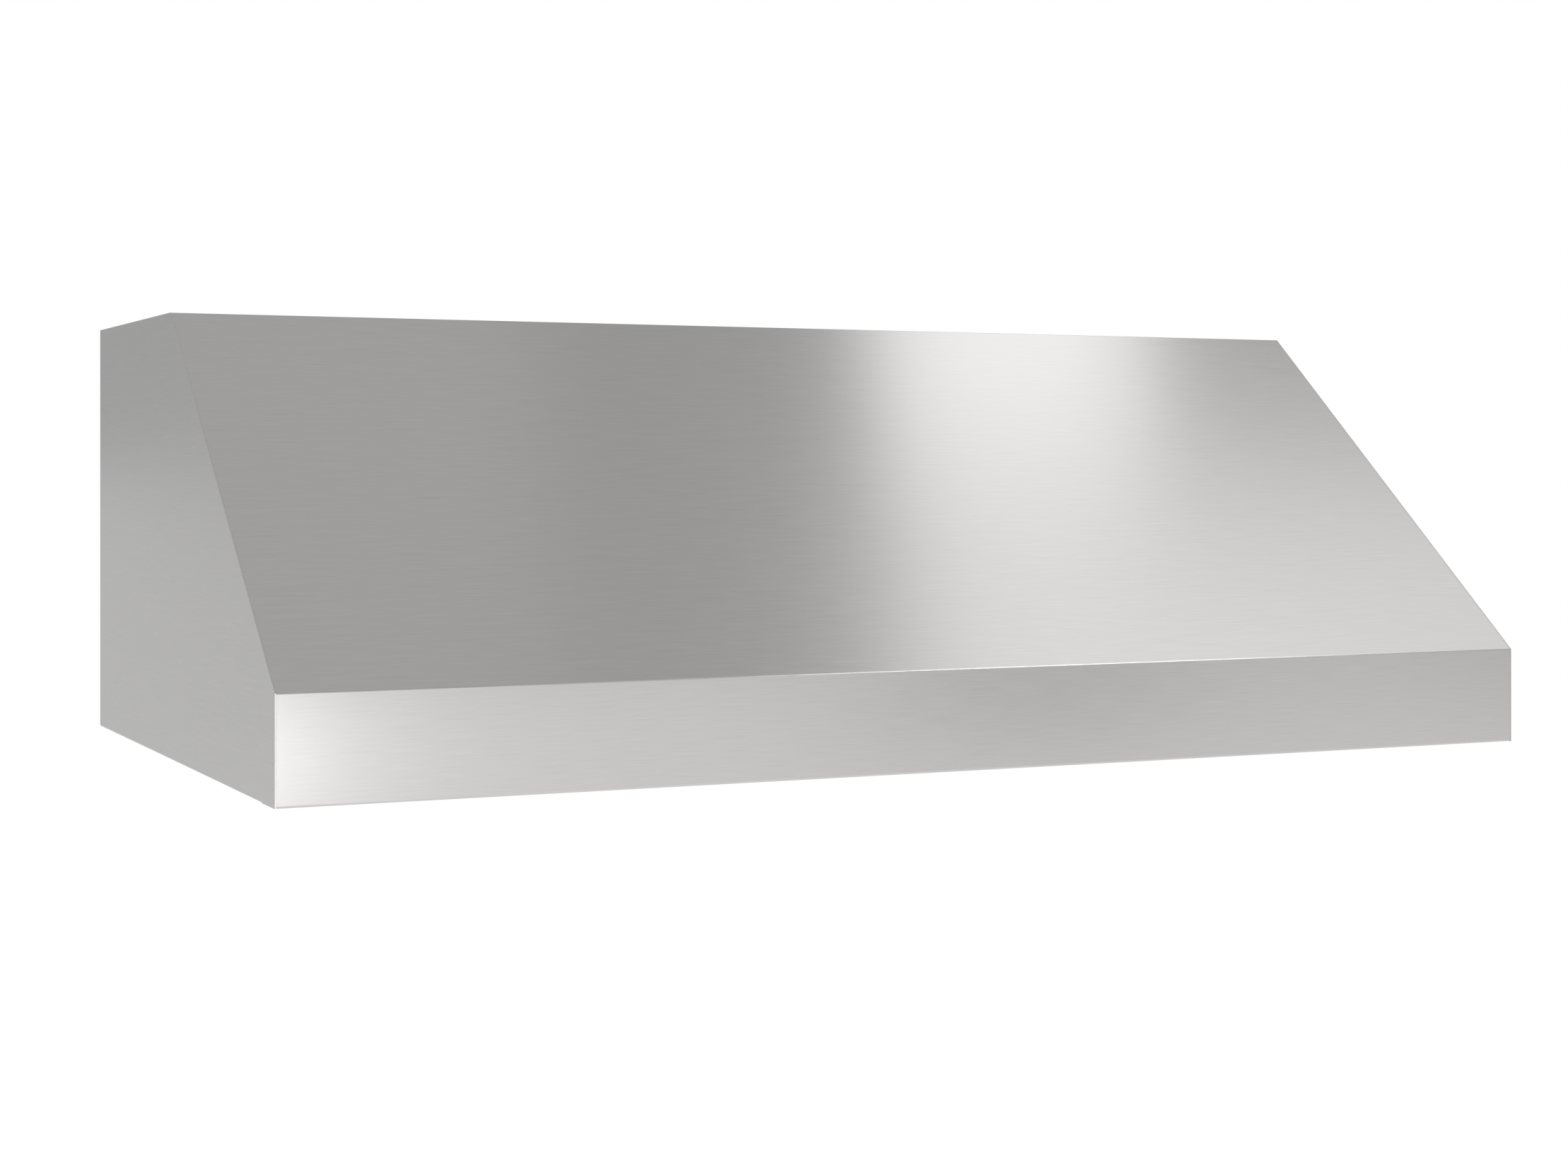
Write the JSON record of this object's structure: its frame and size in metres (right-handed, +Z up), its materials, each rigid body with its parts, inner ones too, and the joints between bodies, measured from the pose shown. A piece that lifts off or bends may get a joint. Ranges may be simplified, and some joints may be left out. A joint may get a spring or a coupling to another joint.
{
  "type": "under cabinet range hood",
  "caption": "Wide under-cabinet range hood with a sloped front, short vertical lip, baffle filters, lamps and knobs under the lip, a blower and a top duct outlet.",
  "frame": {"origin": "centre of the flat top, which lies against the cabinet's underside; it is also the duct outlet's axis and the centre of the cabinet screw pattern", "axes": "+Z up, +Y towards the wall, -Y towards the cook, +X to the right as the cook sees it"},
  "size_m": [1.064, 0.631, 0.3556],
  "materials": {
    "shell_steel": "horizontal brushed grain, satin",
    "filter_steel": "satin stainless",
    "galvanised": "dull zinc-coated sheet",
    "spring_steel": "bright spring strip",
    "motor_enamel": "black enamel",
    "lamp_trim": "polished",
    "lamp_glass": "frosted",
    "lamp_can": "pressed",
    "knob_metal": "turned",
    "black_plastic": "moulded",
    "white_plastic": "moulded",
    "screw_steel": "zinc plated"
  },
  "bodies": {
    "hood": {"back_panel": "shell_steel", "blower_hanger_left": "galvanised", "blower_hanger_right": "galvanised", "canopy_front": "shell_steel", "capacitor": "black_plastic", "capacitor_clamp": "galvanised", "channel_screws": "screw_steel", "collar_screws": "screw_steel", "damper_pin": "galvanised", "damper_ring": "galvanised", "duct_collar": "galvanised", "fan_switch": "black_plastic", "filter_springs": "spring_steel", "hanger_screws": "screw_steel", "inlet_ring_left": "galvanised", "inlet_ring_right": "galvanised", "junction_box": "galvanised", "junction_cover": "galvanised", "lamp_bezel_left": "lamp_trim", "lamp_bezel_right": "lamp_trim", "lamp_can_left": "lamp_can", "lamp_can_right": "lamp_can", "lamp_lens_left": "lamp_glass", "lamp_lens_right": "lamp_glass", "led_driver": "white_plastic", "light_dimmer": "black_plastic", "light_panel": "shell_steel", "motor_body": "motor_enamel", "motor_bracket": "galvanised", "motor_screws": "screw_steel", "outlet_transition": "galvanised", "rear_channel": "shell_steel", "scroll_cheek_left": "galvanised", "scroll_cheek_right": "galvanised", "scroll_wrap": "galvanised", "side_liner_left": "shell_steel", "side_liner_right": "shell_steel", "side_panel_left": "shell_steel", "side_panel_right": "shell_steel", "top_panel": "shell_steel", "wire_bushing": "black_plastic"},
    "filter_1": {"filter_frame_1": "filter_steel", "filter_baffles_1": "filter_steel", "filter_handle_1": "filter_steel"},
    "filter_2": {"filter_frame_2": "filter_steel", "filter_baffles_2": "filter_steel", "filter_handle_2": "filter_steel"},
    "filter_3": {"filter_frame_3": "filter_steel", "filter_baffles_3": "filter_steel", "filter_handle_3": "filter_steel"},
    "blower_rotor": {"blower_wheel": "galvanised"},
    "fan_knob": {"knob_fan": "knob_metal"},
    "light_knob": {"knob_light": "knob_metal"},
    "front_damper": {"damper_flap_front": "galvanised"},
    "rear_damper": {"damper_flap_rear": "galvanised"}
  },
  "joints": [
    {"name": "filter_1_hinge", "type": "hinge", "parent": "hood", "child": "filter_1", "pos_m": [-0.3327, 0.084, -0.328], "axis": [1, 0, 0], "range_deg": [0, 60]},
    {"name": "filter_2_hinge", "type": "hinge", "parent": "hood", "child": "filter_2", "pos_m": [0, 0.084, -0.328], "axis": [1, 0, 0], "range_deg": [0, 60]},
    {"name": "filter_3_hinge", "type": "hinge", "parent": "hood", "child": "filter_3", "pos_m": [0.3327, 0.084, -0.328], "axis": [1, 0, 0], "range_deg": [0, 60]},
    {"name": "blower_spin", "type": "hinge", "parent": "hood", "child": "blower_rotor", "pos_m": [0, -0.046, -0.15], "axis": [1, 0, 0], "continuous": true},
    {"name": "fan_knob_turn", "type": "hinge", "parent": "hood", "child": "fan_knob", "pos_m": [-0.045, -0.4021, -0.338], "axis": [0, 0, 1], "range_deg": [0, 270]},
    {"name": "light_knob_turn", "type": "hinge", "parent": "hood", "child": "light_knob", "pos_m": [0.045, -0.4021, -0.338], "axis": [0, 0, 1], "range_deg": [0, 270]},
    {"name": "front_damper_hinge", "type": "hinge", "parent": "hood", "child": "front_damper", "pos_m": [0, 0, -0.038], "axis": [1, 0, 0], "range_deg": [-80, 0]},
    {"name": "rear_damper_hinge", "type": "hinge", "parent": "hood", "child": "rear_damper", "pos_m": [0, 0, -0.038], "axis": [1, 0, 0], "range_deg": [0, 80]}
  ]
}
